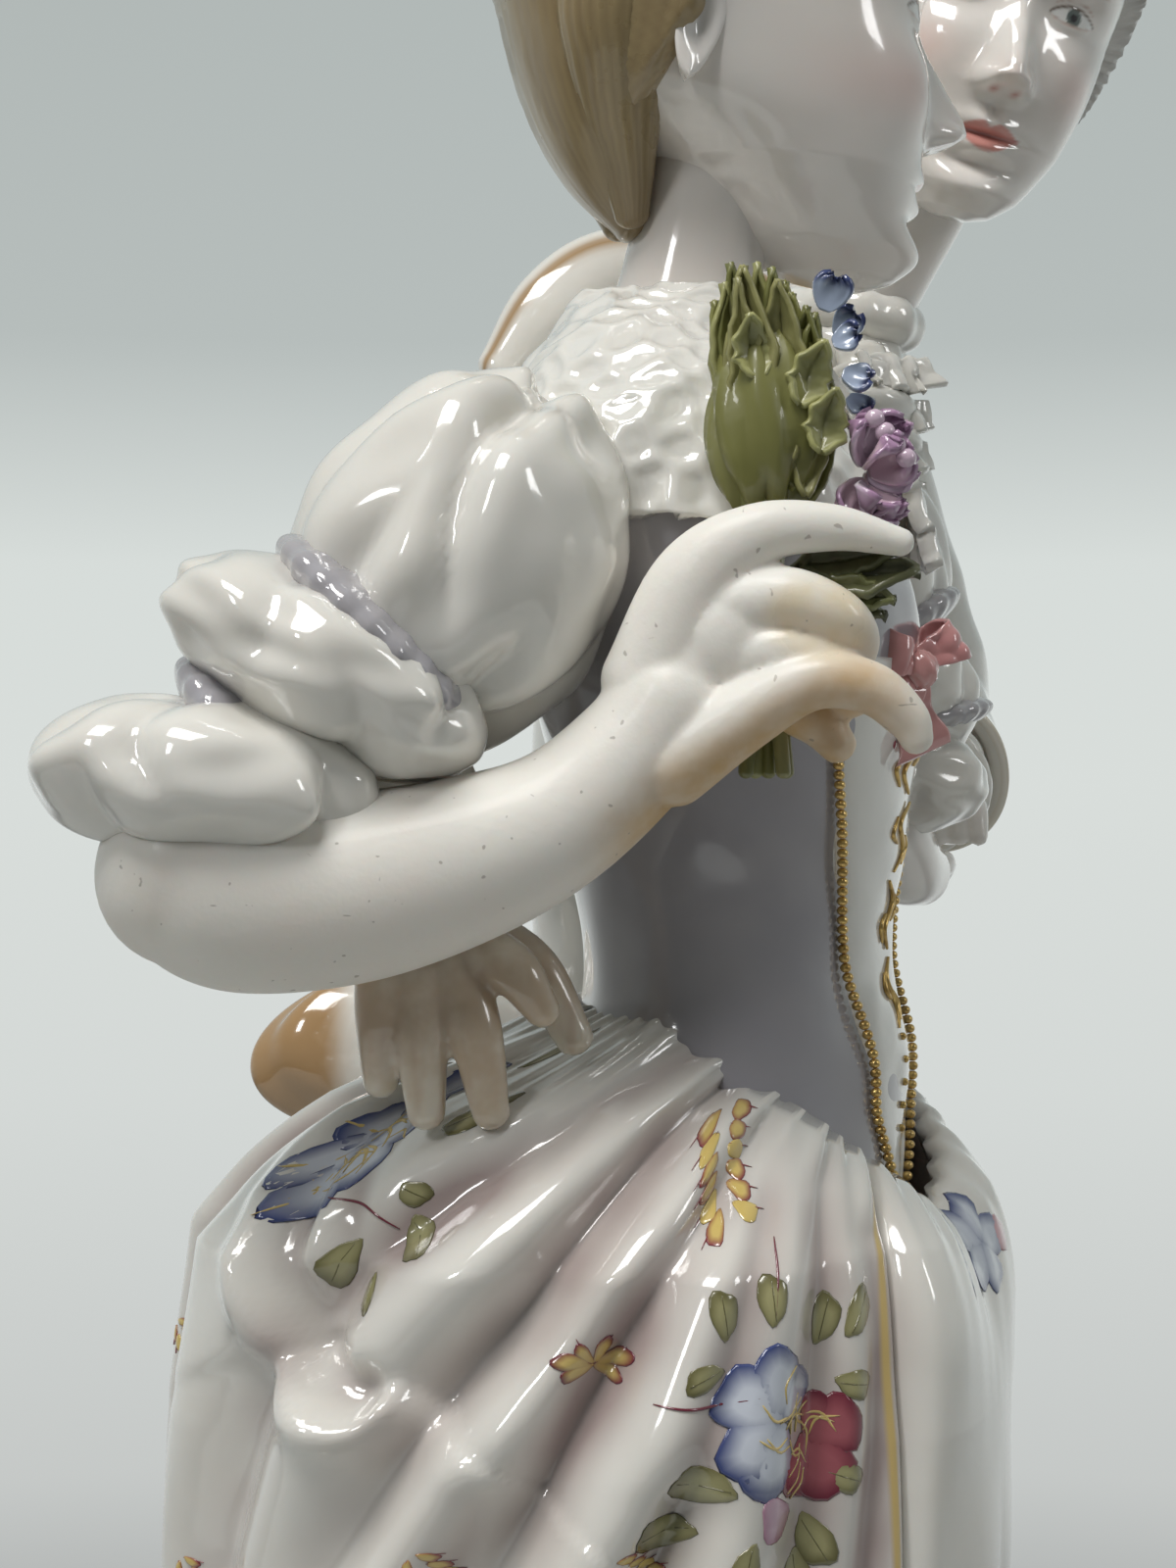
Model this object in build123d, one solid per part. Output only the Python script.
from build123d import *
from math import cos, pi, radians, sin, sqrt
import os

os.makedirs("parts", exist_ok=True)

# Driving dimensions, in millimetres. +X is the way the couple walk, +Z is up,
# and the origin is the centre of the underside of the base.
BASE_LONG = 46.0
BASE_WIDE = 40.0
BASE_TOP = 16.0
BASE_WALL = 2.2
VENT_RADIUS = 3.0

LADY_YAW = -20.0
LADY_Y = -10.0
HEM_DEEP = 29.0
HEM_WIDE = 26.0
SKIRT_WALL = 2.0
WAIST_Z = 121.0
FRONT_OPENING = 19.0

MAN_YAW = -37.0
ARM_Y = -24.0


def heading(yaw):
    """Unit vector that points along a heading, in the plane of the base."""
    return Vector(cos(radians(yaw)), sin(radians(yaw)), 0)


def outline(half_long, half_wide, folds=0, depth=0.0):
    """Smooth closed oval, waved in and out when it has folds."""
    count = max(12, 4 * folds)
    points = []
    for index in range(count):
        turn = 2 * pi * index / count
        swell = 1 + depth * cos(folds * turn)
        points.append((half_long * swell * cos(turn), half_wide * swell * sin(turn)))
    return make_face(Spline(*points, periodic=True))


def slices(sections, yaw=0.0, grow=0.0, folds=0):
    """Solid through level ovals: each is (x, y, z, half long, half wide, fold depth)."""
    faces = []
    for x, y, z, half_long, half_wide, depth in sections:
        level = Plane((x, y, z), x_dir=heading(yaw), z_dir=(0, 0, 1))
        faces.append(level * outline(half_long + grow, half_wide + grow, folds, depth))
    return loft(faces)


def limb(path, radii, side=(0, 1, 0), flat=1.0):
    """Solid of round section along a path, with softly rounded ends."""
    points = [Vector(*point) for point in path]
    first = (points[0] - points[1]).normalized()
    last = (points[-1] - points[-2]).normalized()
    start = radii[0]
    end = radii[-1]
    points = [points[0] + first * start * 0.7] + points + [points[-1] + last * end * 0.7]
    radii = [start * 0.55] + list(radii) + [end * 0.55]
    faces = []
    for index, point in enumerate(points):
        along = points[min(index + 1, len(points) - 1)] - points[max(index - 1, 0)]
        across = Vector(*side).cross(along).normalized()
        section = Plane(point, x_dir=across, z_dir=along.normalized())
        faces.append(section * outline(radii[index], radii[index] * flat))
    return loft(faces)


def ball(centre, radii, turn=(0, 0, 0)):
    """Ellipsoid with its centre, half sizes and turn."""
    faces = []
    for step in (-0.97, -0.8, -0.5, 0, 0.5, 0.8, 0.97):
        size = sqrt(1 - step * step)
        faces.append(Pos(0, 0, radii[2] * step) * outline(radii[0] * size, radii[1] * size))
    return Pos(*centre) * Rot(*turn) * loft(faces)


def seat(shape, *others):
    """Shape with every neighbour it rests against cut out, keeping its main solid."""
    for other in others:
        shape = shape - other
    return Part() + sorted(shape.solids(), key=lambda solid: solid.volume)[-1]


def seat_all(shape, *others):
    """The same cut for a group of small solids, with slivers dropped."""
    for other in others:
        shape = shape - other
    kept = [solid for solid in shape.solids() if solid.volume > 0.05]
    return Compound(children=kept)


def half_space(point, normal, size=120):
    """Large block that fills one side of a plane."""
    return Plane(point, z_dir=normal) * Pos(0, 0, size / 2) * Box(size, size, size)


nodes = {}


# Base: hollow rococo mound with a closed, flat underside.
def base_plinth():
    outer = slices(
        [
            (0, 0, 0, BASE_LONG - 1.0, BASE_WIDE - 1.0, 0.02),
            (0, 0, 4, BASE_LONG, BASE_WIDE, 0.03),
            (0, 0, 10, BASE_LONG - 3.5, BASE_WIDE - 3.0, 0.03),
            (0, 0, BASE_TOP, BASE_LONG - 5.0, BASE_WIDE - 4.0, 0.02),
        ],
        folds=8,
    )
    cavity = slices(
        [
            (0, 0, BASE_WALL, BASE_LONG - 4.5, BASE_WIDE - 4.5, 0.02),
            (0, 0, 7, BASE_LONG - 5.5, BASE_WIDE - 5.0, 0.02),
            (0, 0, BASE_TOP - BASE_WALL, BASE_LONG - 8.5, BASE_WIDE - 7.5, 0.02),
        ],
        folds=8,
    )
    vent = Pos(-22, 10, 0) * Cylinder(VENT_RADIUS, 4 * BASE_WALL)
    return outer - cavity - vent


nodes["base_plinth"] = base_plinth()


def base_scrolls():
    """Gilt C scrolls moulded round the side of the base."""
    scrolls = Part()
    for index in range(8):
        turn = 2 * pi * index / 8
        x = (BASE_LONG - 1.6) * cos(turn)
        y = (BASE_WIDE - 1.4) * sin(turn)
        scrolls += ball((x, y, 8.0), (2.4, 4.6, 5.2), (0, 0, index * 45))
    return seat_all(scrolls, nodes["base_plinth"])


nodes["base_scrolls"] = base_scrolls()


# Lady: skirts.
SKIRT_SECTIONS = [
    (-4.0, LADY_Y, 16, HEM_DEEP, HEM_WIDE, 0.035),
    (-3.5, LADY_Y, 40, 26.0, 24.0, 0.035),
    (-3.0, LADY_Y, 60, 23.0, 21.5, 0.03),
    (-2.0, LADY_Y, 80, 18.5, 18.0, 0.02),
    (-1.0, LADY_Y, 96, 14.5, 14.5, 0.01),
    (1.2, LADY_Y, 112, 10.2, 10.4, 0.0),
    (5.0, LADY_Y, WAIST_Z, 6.8, 8.0, 0.0),
]
skirt_solid = slices(SKIRT_SECTIONS, LADY_YAW, folds=14)


def lady_underskirt():
    inner = slices(SKIRT_SECTIONS[:-1], LADY_YAW, grow=-SKIRT_WALL, folds=14)
    return skirt_solid - inner


nodes["lady_underskirt"] = lady_underskirt()


def overskirt_pouf():
    """The looped-up overskirt as one mass, before it is parted in two."""
    return slices(
        [
            (-5.0, LADY_Y, 70, 21.5, 20.0, 0.03),
            (-3.5, LADY_Y, 84, 19.2, 18.4, 0.03),
            (-2.0, LADY_Y, 98, 18.0, 17.6, 0.03),
            (-1.5, LADY_Y, 107, 17.8, 17.6, 0.02),
            (-1.1, LADY_Y, 114, 17.0, 17.0, 0.01),
            (0.4, LADY_Y, 119.5, 13.6, 14.0, 0.0),
            (4.6, LADY_Y, 123.5, 8.0, 9.0, 0.0),
        ],
        LADY_YAW,
        folds=10,
    )


def overskirt_halves():
    """Right and left halves, open down the front and cut to a slanting hem."""
    pouf = overskirt_pouf() - skirt_solid
    pouf = pouf - half_space((15, LADY_Y, 99), (0.62, 0, -0.785))
    top = Pos(5, LADY_Y, 128) * Cylinder(7.4, 16)
    pouf = pouf - top
    ahead = heading(LADY_YAW)
    centre = Vector(-1.2, LADY_Y, 100)
    right_side = half_space(centre, ahead.rotate(Axis.Z, -90))
    left_side = half_space(centre, ahead.rotate(Axis.Z, 90))
    opening = Part()
    for swing in (-FRONT_OPENING, 0, FRONT_OPENING):
        slot = Rot(0, 0, LADY_YAW + swing) * Pos(20, 0, 0) * Box(40, 2.5, 90)
        opening += Pos(centre) * slot
    wedge = Polyline((0, 0), (40, -40 * sin(radians(19))), (40, 40 * sin(radians(19))), close=True)
    opening += Pos(centre) * Rot(0, 0, LADY_YAW) * extrude(make_face(wedge), 45, both=True)
    pouf = pouf - opening
    return seat(pouf, left_side), seat(pouf, right_side)


nodes["lady_overskirt_right"], nodes["lady_overskirt_left"] = overskirt_halves()


# Lady: body.
BODICE_SECTIONS = [
    (5.0, LADY_Y, WAIST_Z, 7.2, 8.6, 0),
    (5.0, LADY_Y, 125, 6.6, 8.4, 0),
    (4.9, LADY_Y, 131, 7.6, 9.4, 0),
    (4.5, LADY_Y, 138, 8.4, 10.5, 0),
    (3.6, LADY_Y, 144, 7.4, 11.3, 0),
    (2.8, LADY_Y, 148, 5.5, 9.6, 0),
    (2.3, LADY_Y, 151, 3.4, 4.8, 0),
]


def lady_neck():
    return limb([(2.0, LADY_Y, 148), (2.6, LADY_Y, 152), (4.2, LADY_Y, 158)], [3.6, 3.1, 3.2])


nodes["lady_neck"] = lady_neck()


def lady_bodice():
    body = slices(BODICE_SECTIONS, LADY_YAW)
    skirts = [skirt_solid, nodes["lady_overskirt_right"], nodes["lady_overskirt_left"]]
    return seat(body, nodes["lady_neck"], *skirts)


nodes["lady_bodice"] = lady_bodice()


def lady_stomacher():
    """White panel with a pointed tip, laid on the front of the bodice."""
    form = slices(
        [
            (1.9, LADY_Y, 113, 11.0, 11.0, 0),
            (3.6, LADY_Y, 117, 9.4, 9.8, 0),
            (5.0, LADY_Y, 122, 7.9, 9.4, 0),
            (5.0, LADY_Y, 125, 7.4, 9.2, 0),
            (4.9, LADY_Y, 131, 8.4, 10.2, 0),
            (4.5, LADY_Y, 138, 9.2, 11.3, 0),
        ],
        LADY_YAW,
    )
    shield = Polyline((0, 114.5), (3.0, 119), (4.2, 125), (6.3, 133), (6.6, 136.5),
                      (-6.6, 136.5), (-6.3, 133), (-4.2, 125), (-3.0, 119), close=True)
    ahead = heading(LADY_YAW)
    wall = Plane((4, LADY_Y, 0), x_dir=ahead.rotate(Axis.Z, -90), z_dir=-ahead)
    prism = extrude(wall * make_face(shield), -30)
    panel = form & prism
    halves = [nodes["lady_overskirt_right"], nodes["lady_overskirt_left"]]
    return seat(panel, nodes["lady_bodice"], skirt_solid, *halves)


nodes["lady_stomacher"] = lady_stomacher()


def lady_fichu():
    """Shoulder frill that leaves the throat open in front."""
    form = slices(
        [
            (4.2, LADY_Y, 140.5, 8.9, 11.6, 0),
            (3.6, LADY_Y, 144.5, 8.5, 12.3, 0),
            (2.8, LADY_Y, 148.5, 6.7, 10.8, 0),
            (2.3, LADY_Y, 152, 4.4, 6.0, 0),
        ],
        LADY_YAW,
    )
    throat = Pos(2.4, LADY_Y, 152) * Cylinder(3.9, 6)
    front = Polyline((0, 0), (30, -9), (30, 9), close=True)
    notch = Pos(4, LADY_Y, 143.5) * Rot(0, 0, LADY_YAW) * extrude(make_face(front), 12)
    return seat(form - throat - notch, nodes["lady_bodice"], nodes["lady_neck"])


nodes["lady_fichu"] = lady_fichu()


# Lady: head and hair.
def lady_head():
    skull = ball((4.0, LADY_Y, 167.5), (8.0, 6.9, 8.8), (0, 0, 8))
    face = ball((7.2, LADY_Y + 0.4, 161.2), (5.2, 5.4, 7.2), (0, 8, 8))
    nose = ball((12.0, LADY_Y + 1.0, 163.4), (1.6, 1.0, 2.0), (0, 0, 8))
    ears = Part()
    for side in (-1, 1):
        ears += ball((3.2, LADY_Y + side * 6.0, 164.0), (1.2, 1.0, 1.9))
    return seat(skull + face + nose + ears, nodes["lady_neck"])


nodes["lady_head"] = lady_head()


def lady_hair():
    crown = ball((2.8, LADY_Y, 168.6), (8.0, 7.8, 8.9))
    nape = limb([(-1.6, LADY_Y, 165), (-1.0, LADY_Y, 160.5), (-0.4, LADY_Y, 156.5)], [3.5, 3.3, 1.8])
    face_side = half_space((3.2, LADY_Y, 163.4), (0.82, 0, -0.57))
    return seat(crown + nape - face_side, nodes["lady_head"], nodes["lady_neck"])


nodes["lady_hair"] = lady_hair()


def lady_hair_bun():
    bun = ball((-2.8, LADY_Y, 172.6), (4.5, 5.0, 4.9), (0, -20, 0))
    return seat(bun, nodes["lady_hair"], nodes["lady_head"])


nodes["lady_hair_bun"] = lady_hair_bun()


# Lady: near (right) arm.
def lady_right_sleeve():
    upper = ball((-6.8, -21.5, 140.8), (6.0, 6.2, 7.2))
    upper = seat(upper, nodes["lady_bodice"], nodes["lady_fichu"])
    middle = ball((-11.9, ARM_Y, 136.4), (3.6, 5.6, 5.4), (0, -45, 0))
    middle = seat(middle, upper, nodes["lady_bodice"])
    lower = ball((-15.9, ARM_Y - 1, 132.5), (6.2, 5.2, 2.9), (0, -12, 0))
    lower = seat(lower, middle, upper, nodes["lady_bodice"])
    return upper, middle, lower


(
    nodes["lady_right_sleeve_upper"],
    nodes["lady_right_sleeve_middle"],
    nodes["lady_right_sleeve_lower"],
) = lady_right_sleeve()


def lady_right_sleeve_bands():
    """Lavender bands that gather the near sleeve between its puffs."""
    bands = Pos(-9.6, -22.9, 137.9) * Rot(0, 45, 0) * Cylinder(6.0, 1.8)
    bands += Pos(-14.1, -24.6, 134.3) * Rot(0, 50, 0) * Cylinder(4.9, 1.6)
    puffs = [nodes["lady_right_sleeve_" + name] for name in ("upper", "middle", "lower")]
    return seat_all(bands, *puffs, nodes["lady_bodice"])


nodes["lady_right_sleeve_bands"] = lady_right_sleeve_bands()


def lady_right_forearm():
    """Forearm, palm and fingers that hold the posy."""
    arm = limb(
        [(-16.9, -25, 128.6), (-11.5, -25, 127.9), (-5.5, -24.6, 129.4), (-2.4, -24.2, 131.2), (0.6, -24, 134.4)],
        [3.7, 3.9, 3.2, 2.7, 2.9],
    )
    palm = ball((2.4, -24, 137.2), (3.6, 2.2, 3.9), (0, 30, 0))
    fingers = Part()
    fingers += limb([(2.4, -24.4, 139.6), (5.2, -24.8, 142.4), (8.0, -24.8, 142.2), (10.2, -24.6, 141.5)],
                    [1.4, 1.2, 1.0, 0.7])
    fingers += limb([(3.6, -23.8, 138.6), (6.6, -24.6, 139.2), (8.0, -23.6, 138.2)], [1.5, 1.4, 0.9])
    fingers += limb([(3.2, -24.6, 135.6), (6.0, -25.2, 136.4), (8.8, -25.2, 136.2), (10.6, -25, 134.4)],
                    [1.5, 1.4, 1.2, 0.8])
    fingers += limb([(3.4, -22.6, 135.2), (6.0, -22.6, 134.6), (7.8, -22.8, 134.0)], [1.2, 1.1, 0.8])
    thumb = limb([(1.8, -22.4, 138.6), (3.6, -21.6, 141.4), (5.4, -21.8, 143.0)], [1.4, 1.2, 0.9])
    sleeve = [nodes["lady_right_sleeve_" + name] for name in ("upper", "middle", "lower")]
    body = [nodes["lady_bodice"], nodes["lady_right_sleeve_bands"]]
    return seat(arm + palm + fingers + thumb, *sleeve, *body)


nodes["lady_right_forearm"] = lady_right_forearm()


# Posy in her right hand.
def bouquet():
    hand = nodes["lady_right_forearm"]
    stem = seat(limb([(4.8, -22.9, 132.6), (4.9, -22.9, 138.0), (5.0, -22.9, 144.0)], [0.8, 0.9, 1.0]), hand)
    leaves = ball((5.2, -22.9, 147.0), (1.9, 1.7, 4.6))
    for x, z, lean in ((3.9, 147.5, -12), (5.4, 149.0, 4), (6.6, 147.0, 16), (4.6, 145.6, -6)):
        leaves += ball((x, -23.4, z), (1.3, 1.0, 3.6), (0, lean, 0))
    leaves = seat(leaves, hand, stem)
    blue = ball((7.3, -22.6, 150.9), (1.0, 0.8, 0.9))
    blue += ball((8.1, -22.6, 149.2), (0.8, 0.8, 0.9))
    blue += ball((8.5, -22.6, 147.4), (0.9, 0.8, 1.2))
    blue = seat(blue, leaves, hand)
    pink = ball((9.6, -22.6, 143.8), (1.8, 1.9, 2.7), (0, 10, 0))
    pink += ball((8.7, -22.6, 145.6), (1.2, 1.6, 1.4))
    pink = seat(pink, leaves, blue, hand, stem)
    lower = ball((8.0, -23.6, 140.0), (2.7, 1.4, 1.1), (0, 8, 0))
    lower += ball((8.7, -23.6, 138.7), (1.0, 0.9, 0.7))
    lower = seat(lower, hand, stem, pink)
    return stem, leaves, blue, pink, lower


(
    nodes["bouquet_stem"],
    nodes["bouquet_leaves"],
    nodes["bouquet_blue_flower"],
    nodes["bouquet_pink_flower"],
    nodes["bouquet_lower_leaf"],
) = bouquet()


def lady_bow():
    bow = ball((12.9, -13.3, 137.1), (1.6, 1.8, 1.5))
    bow += ball((11.9, -15.4, 137.4), (1.4, 2.1, 1.6), (0, 20, -20))
    bow += ball((14.0, -11.4, 137.7), (1.3, 2.1, 1.6), (0, 0, -20))
    bow += ball((12.6, -14.6, 135.2), (1.0, 1.2, 2.2), (20, 0, 0))
    bow += ball((13.6, -12.4, 135.2), (1.0, 1.2, 2.2), (-20, 0, 0))
    front = [nodes["lady_stomacher"], nodes["lady_bodice"], nodes["lady_fichu"]]
    return seat(bow, *front, nodes["lady_right_forearm"])


nodes["lady_bow"] = lady_bow()


# Gentleman: body.
WAISTCOAT_SECTIONS = [
    (3.0, 20.5, 98, 6.8, 8.6, 0),
    (3.2, 20.0, 112, 6.4, 8.2, 0),
    (3.6, 19.5, 122, 6.2, 8.0, 0),
    (4.8, 18.6, 134, 6.8, 9.6, 0),
    (6.2, 17.6, 144, 6.6, 11.0, 0),
    (7.6, 16.6, 151, 5.0, 9.6, 0),
    (9.6, 15.4, 156, 3.2, 4.6, 0),
]
lady_mass = [
    skirt_solid,
    nodes["lady_overskirt_right"],
    nodes["lady_overskirt_left"],
    nodes["lady_bodice"],
    nodes["lady_fichu"],
]


def man_neck():
    return limb([(9.4, 15.4, 152), (11.6, 14.8, 156.5), (15.0, 13.8, 163.0)], [3.9, 3.5, 3.4])


nodes["man_neck"] = man_neck()


def man_waistcoat():
    return seat(slices(WAISTCOAT_SECTIONS, MAN_YAW), nodes["man_neck"], *lady_mass)


nodes["man_waistcoat"] = man_waistcoat()


def man_coat():
    """Coat body, worn open over the waistcoat."""
    form = slices(WAISTCOAT_SECTIONS[1:], MAN_YAW, grow=1.5)
    front = Polyline((0, 0), (30, -7.5), (30, 7.5), close=True)
    opening = Pos(4, 18.5, 100) * Rot(0, 0, MAN_YAW) * extrude(make_face(front), 60)
    collar_hole = Pos(10.5, 15.2, 156) * Cylinder(4.6, 8)
    return seat(form - opening - collar_hole, nodes["man_waistcoat"], nodes["man_neck"], *lady_mass)


nodes["man_coat"] = man_coat()


def man_coat_skirts():
    """Flared coat skirts from the waist to below the knee, split down the front."""
    form = slices(
        [
            (2.0, 20.5, 62, 15.5, 17.0, 0.04),
            (1.6, 20.5, 80, 13.8, 15.2, 0.04),
            (1.8, 20.5, 98, 11.4, 12.8, 0.03),
            (3.2, 20.0, 112, 8.1, 9.8, 0),
        ],
        MAN_YAW,
        folds=8,
    )
    inside = slices(
        [
            (2.0, 20.5, 61, 13.5, 15.0, 0.04),
            (1.6, 20.5, 80, 11.8, 13.2, 0.04),
            (1.8, 20.5, 96, 9.4, 10.8, 0.03),
            (3.2, 20.0, 106, 6.6, 8.2, 0),
        ],
        MAN_YAW,
        folds=8,
    )
    front = Polyline((0, 0), (40, -26), (40, 26), close=True)
    opening = Pos(3, 20, 60) * Rot(0, 0, MAN_YAW) * extrude(make_face(front), 60)
    body = [nodes["man_waistcoat"], nodes["man_coat"]]
    return seat(form - inside - opening, *body, *lady_mass)


nodes["man_coat_skirts"] = man_coat_skirts()


def man_coat_collar():
    ring = limb([(4.4, 10.6, 156.0), (5.6, 15.8, 158.6), (9.6, 20.4, 158.2)], [1.7, 1.9, 1.7], side=(1, 0, 0))
    body = [nodes["man_coat"], nodes["man_waistcoat"], nodes["man_neck"]]
    return seat(ring, *body, *lady_mass)


nodes["man_coat_collar"] = man_coat_collar()


def man_neckwear():
    """Neckcloth wound round the neck, and the lace jabot below it."""
    cloth = limb([(9.9, 15.3, 153.6), (11.5, 14.9, 156.4), (13.0, 14.4, 159.0)], [4.2, 4.7, 4.2])
    cloth = seat(cloth, nodes["man_neck"], nodes["man_waistcoat"], nodes["man_coat"], nodes["man_coat_collar"])
    lace = ball((13.0, 10.6, 151.0), (2.2, 3.0, 4.6), (0, -14, MAN_YAW))
    lace = seat(lace, cloth, nodes["man_neck"], nodes["man_waistcoat"], nodes["man_coat"], *lady_mass)
    return cloth, lace


nodes["man_neckcloth"], nodes["man_jabot"] = man_neckwear()


# Gentleman: head.
def man_head():
    skull = ball((18.7, 14.0, 174.0), (6.8, 7.8, 8.4), (0, 14, 0))
    face = ball((17.7, 10.8, 168.0), (5.4, 5.2, 7.2), (10, 14, 0))
    nose = ball((18.1, 5.6, 169.4), (1.0, 1.6, 2.0), (0, 14, 0))
    return seat(skull + face + nose, nodes["man_neck"], nodes["man_neckcloth"])


nodes["man_head"] = man_head()


def man_wig():
    crown = ball((19.0, 15.4, 175.4), (7.9, 8.4, 8.6), (0, 14, 0))
    curls = Part()
    for x, z in ((11.4, 170.0), (25.6, 167.4)):
        for drop in (0, 1):
            curls += limb([(x, 9.6 + drop, z - 3.6 * drop), (x, 16.4, z - 3.6 * drop)], [1.9, 1.9], side=(0, 0, 1))
    face_side = half_space((18.5, 9.6, 172), (0, -0.92, -0.38))
    return seat(crown - face_side + curls, nodes["man_head"], nodes["man_neck"], nodes["man_neckcloth"])


nodes["man_wig"] = man_wig()


def man_queue():
    tail = limb([(17.6, 22.0, 170.0), (15.6, 24.4, 163.5), (13.4, 25.2, 156.5), (12.2, 25.4, 151)],
                [2.4, 2.2, 2.0, 1.3])
    body = [nodes["man_wig"], nodes["man_coat"], nodes["man_coat_collar"], nodes["man_head"]]
    tail = seat(tail, *body)
    ribbon = ball((16.8, 25.6, 166.4), (1.6, 1.8, 1.4))
    for side in (-1, 1):
        ribbon += ball((16.8 + side * 2.6, 25.6, 166.6), (2.4, 1.0, 1.6), (0, side * 15, 0))
    return tail, seat(ribbon, tail, nodes["man_wig"])


nodes["man_wig_queue"], nodes["queue_ribbon"] = man_queue()


# Gentleman: right arm round her back, hand on her hip.
def man_right_arm():
    body = [nodes["man_coat"], nodes["man_waistcoat"], nodes["man_coat_collar"], *lady_mass]
    near = [nodes["lady_right_forearm"]]
    near += [nodes["lady_right_sleeve_" + name] for name in ("upper", "middle", "lower", "bands")]
    sleeve = limb(
        [(0.6, 8.6, 151.4), (-5.6, 3.8, 146.0), (-11.0, -0.6, 138.6), (-12.2, -7.0, 134.2), (-11.6, -12.4, 131.6)],
        [5.0, 5.0, 4.6, 4.0, 3.6],
    )
    hand = limb([(-10.2, -14.6, 130.6), (-8.0, -18.0, 128.4), (-6.6, -21.0, 125.9)], [2.1, 2.3, 2.9])
    for tip in ((-8.9, 120.6), (-6.4, 119.6), (-3.9, 119.4), (-1.7, 122.6)):
        x, z = tip
        hand += limb([(x + (-5.4 - x) * 0.5, -21.6, 125.4), (x, -22.8, z)], [1.2, 0.9])
    hand += limb([(-4.8, -20.4, 126.4), (-1.4, -20.8, 124.6), (0.3, -20.6, 122.6)], [1.1, 1.0, 0.8])
    cuff = limb([(-11.9, -9.6, 132.8), (-10.6, -13.6, 131.0)], [4.9, 5.2])
    hand = seat(hand, *body, *near)
    sleeve = seat(sleeve, *body, *near, hand)
    cuff = seat(cuff, sleeve, hand, *body, *near)
    return sleeve, cuff, hand


nodes["man_right_sleeve"], nodes["man_right_cuff"], nodes["man_right_hand"] = man_right_arm()


# The hands that meet in front of her.
def lady_left_sleeve():
    body = [nodes["lady_bodice"], nodes["lady_fichu"], nodes["man_waistcoat"], nodes["man_coat"], nodes["man_jabot"]]
    upper = seat(ball((8.9, 0.4, 142.2), (6.6, 5.8, 6.4)), *body)
    middle = seat(ball((12.3, 0.8, 137.4), (4.2, 4.8, 4.0), (0, 20, 0)), upper, *body)
    lower = seat(ball((13.0, 1.6, 133.2), (4.4, 4.8, 2.8), (0, 10, 0)), middle, upper, *body)
    return upper, middle, lower


(
    nodes["lady_left_sleeve_upper"],
    nodes["lady_left_sleeve_middle"],
    nodes["lady_left_sleeve_lower"],
) = lady_left_sleeve()
far_puffs = [nodes["lady_left_sleeve_" + name] for name in ("upper", "middle", "lower")]
man_front = [nodes["man_waistcoat"], nodes["man_coat"], nodes["man_jabot"]]


def lady_left_sleeve_bands():
    bands = Pos(11.6, 0.7, 139.2) * Rot(0, -30, 0) * Cylinder(4.5, 1.6)
    bands += Pos(13.0, 1.3, 134.9) * Rot(0, -12, 0) * Cylinder(4.3, 1.4)
    return seat_all(bands, *far_puffs, nodes["lady_bodice"], *man_front)


nodes["lady_left_sleeve_bands"] = lady_left_sleeve_bands()


def lady_left_forearm():
    arm = limb([(12.4, 2.0, 131.6), (13.6, 4.0, 129.4), (15.0, 6.6, 128.8)], [2.7, 2.3, 1.9])
    arm += ball((15.6, 8.4, 129.0), (1.8, 2.6, 1.6), (0, 0, 20))
    return seat(arm, *far_puffs, nodes["lady_left_sleeve_bands"], nodes["lady_bodice"], *man_front)


nodes["lady_left_forearm"] = lady_left_forearm()


def man_left_arm():
    body = [*man_front, nodes["lady_left_forearm"]]
    hand = limb([(17.4, 13.0, 131.6), (16.4, 10.6, 130.8), (15.6, 8.4, 130.8)], [1.8, 2.2, 2.0])
    hand = seat(hand, *body)
    sleeve = limb([(12.4, 23.0, 149.8), (14.8, 25.6, 143.4), (16.4, 24.8, 136.8), (16.4, 19.4, 133.8)],
                  [4.8, 4.5, 4.2, 3.7])
    sleeve = seat(sleeve, *body, hand, nodes["man_coat_collar"])
    cuff = seat(limb([(16.6, 20.8, 134.6), (16.4, 17.4, 133.2)], [4.6, 4.8]), sleeve, hand, *body)
    ruffle = limb([(16.4, 16.6, 132.9), (16.0, 13.4, 131.9)], [3.4, 3.9])
    ruffle = seat(ruffle, cuff, sleeve, hand, *body)
    return sleeve, cuff, ruffle, hand


(
    nodes["man_left_sleeve"],
    nodes["man_left_cuff"],
    nodes["man_left_ruffle"],
    nodes["man_left_hand"],
) = man_left_arm()


# Gentleman: breeches, stockings and shoes.
KNEE_RIGHT = (2.4, 20.6, 58.0)
KNEE_LEFT = (11.0, 20.5, 60.0)
SHOE_RIGHT = (1.0, 22.0, BASE_TOP)
SHOE_LEFT = (23.0, 24.0, BASE_TOP)


def man_breeches():
    """Two legs joined under the waistcoat, clear of the coat skirts round them."""
    legs = limb([(2.4, 20.4, 94.55), (2.2, 20.4, 78), KNEE_RIGHT], [4.9, 4.8, 3.9])
    return legs + limb([(4.4, 20.8, 94.55), (7.0, 21.0, 78), KNEE_LEFT], [4.9, 4.6, 3.7])


nodes["man_breeches"] = man_breeches()


def man_shoe(place):
    """Low shoe: heel, sole and rounded toe, pointing the way he walks."""
    x, y, z = place
    body = ball((x + 3.0, y - 2.2, z + 2.2), (6.8, 2.9, 2.6), (0, 0, MAN_YAW))
    heel = Pos(x - 1.4, y + 1.0, z + 1.2) * Cylinder(2.2, 2.6)
    ankle = Pos(x, y, z + 4.0) * Cylinder(2.5, 3.6)
    return seat(body + heel + ankle - half_space((0, 0, z), (0, 0, -1)), nodes["lady_underskirt"])


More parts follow.
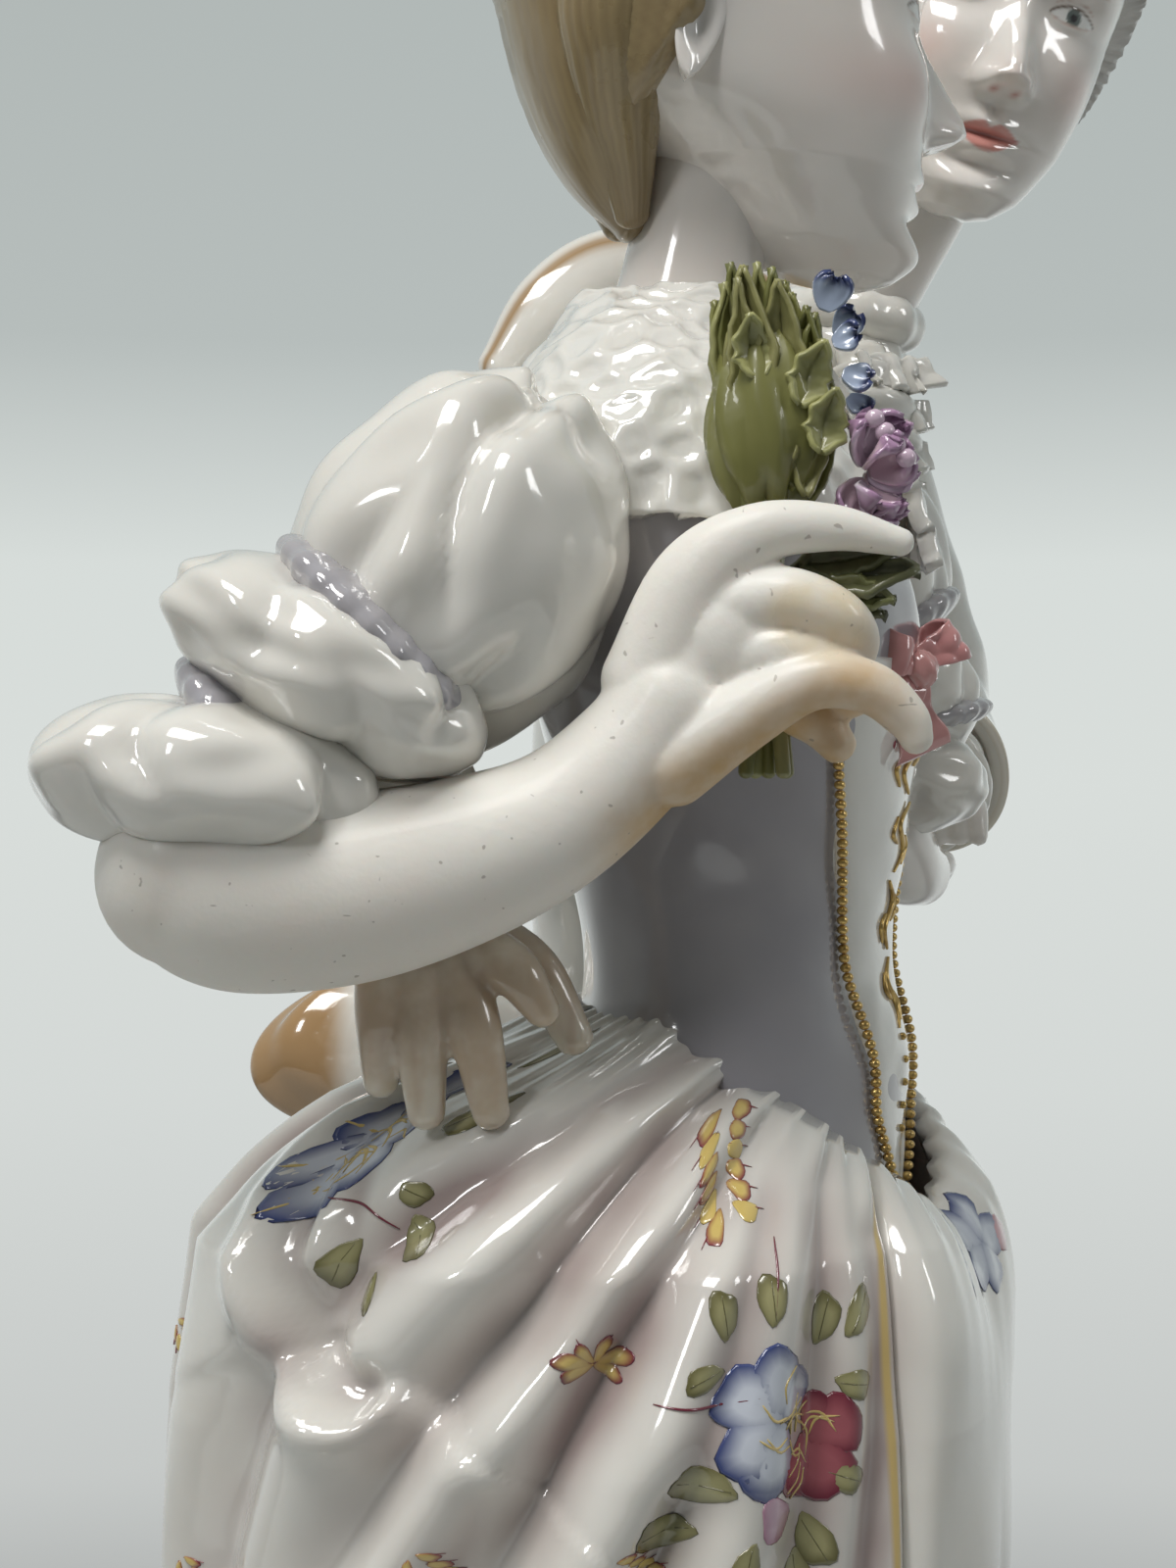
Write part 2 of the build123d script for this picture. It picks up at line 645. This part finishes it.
nodes["man_right_shoe"] = man_shoe(SHOE_RIGHT)
nodes["man_left_shoe"] = man_shoe(SHOE_LEFT)


def man_stocking(knee, shoe, shoe_node):
    x, y, z = shoe
    kx, ky, kz = knee
    calf = ((kx + x) / 2 - 0.6, (ky + y) / 2 + 0.8, (kz + z) / 2 + 6)
    leg = limb([(kx, ky, kz + 2), calf, (x, y, z + 7.5)], [3.0, 3.5, 2.2])
    return seat(leg, nodes["man_breeches"], nodes[shoe_node])


nodes["man_right_stocking"] = man_stocking(KNEE_RIGHT, SHOE_RIGHT, "man_right_shoe")
nodes["man_left_stocking"] = man_stocking(KNEE_LEFT, SHOE_LEFT, "man_left_shoe")


def shoe_buckles():
    plates = Part()
    for x, y, z in (SHOE_RIGHT, SHOE_LEFT):
        plates += Pos(x + 4.0, y - 3.0, z + 4.4) * Rot(0, 20, MAN_YAW) * Box(2.0, 3.4, 2.0)
    shoes = [nodes["man_right_shoe"], nodes["man_left_shoe"]]
    legs = [nodes["man_right_stocking"], nodes["man_left_stocking"]]
    return seat_all(plates, *shoes, *legs)


nodes["shoe_buckles"] = shoe_buckles()


def waistcoat_buttons():
    """Gilt buttons down the waistcoat front."""
    ahead = heading(MAN_YAW)
    buttons = []
    for x, y, z, deep, wide, depth in WAISTCOAT_SECTIONS[2:5]:
        spot = Vector(x, y, z + 2) + ahead * (deep + 0.4)
        button = ball((spot.X, spot.Y, spot.Z), (0.8, 1.0, 1.0), (0, 0, MAN_YAW))
        buttons.append(seat(button, nodes["man_waistcoat"]))
    return Compound(children=buttons)


nodes["waistcoat_buttons"] = waistcoat_buttons()


# Feet of the lady, stump and plants on the base.
def lady_shoes():
    ahead = heading(LADY_YAW)
    shoes = Part()
    for side in (-1, 1):
        spot = Vector(-4, LADY_Y, BASE_TOP + 2.0) + ahead * 27.5 + ahead.rotate(Axis.Z, 90) * side * 5
        shoes += ball((spot.X, spot.Y, spot.Z), (5.2, 2.3, 2.4), (0, 0, LADY_YAW))
    shoes = shoes - half_space((0, 0, BASE_TOP), (0, 0, -1))
    return seat_all(shoes, skirt_solid, nodes["man_left_shoe"])


nodes["lady_shoes"] = lady_shoes()


def tree_stump():
    """Gnarled prop behind the couple that carries them in the kiln."""
    trunk = limb([(-14, 24, 17.5), (-12, 25, 34), (-8.5, 26, 52), (-5.5, 27, 64)], [6.0, 4.8, 4.4, 4.2])
    trunk += limb([(-11, 26, 40), (-17, 29, 50)], [2.6, 1.9])
    trunk = trunk - half_space((0, 0, BASE_TOP), (0, 0, -1))
    legs = [nodes["man_right_stocking"], nodes["man_breeches"], nodes["man_coat_skirts"]]
    return seat(trunk, skirt_solid, nodes["man_right_shoe"], *legs)


nodes["tree_stump"] = tree_stump()


def base_plants():
    """Applied blossoms and leaves on the mound."""
    spots = ((30, -14, 2.4), (26, -22, 2.0), (33, 4, 2.2), (-30, 16, 2.4), (-24, 22, 2.0), (10, -34.5, 1.9), (34, 12, 1.9))
    leaves = Part()
    flowers = Part()
    for x, y, size in spots:
        flowers += ball((x, y, BASE_TOP + 1.4), (size, size, 1.7))
        for turn in (20, 140, 260):
            reach = size * 1.2
            leaf = (x + reach * cos(radians(turn)), y + reach * sin(radians(turn)), BASE_TOP + 0.3)
            leaves += ball(leaf, (size * 0.9, size * 0.5, 0.8), (0, 0, turn))
    ground = half_space((0, 0, BASE_TOP), (0, 0, -1))
    things = [skirt_solid, nodes["lady_shoes"], nodes["man_left_shoe"], nodes["man_right_shoe"], nodes["tree_stump"]]
    flowers = seat_all(flowers - ground, *things)
    leaves = seat_all(leaves - ground, *flowers.solids(), *things)
    return flowers, leaves


nodes["base_flowers"], nodes["base_leaves"] = base_plants()


for name, shape in nodes.items():
    export_step(shape, "parts/" + name + ".step")
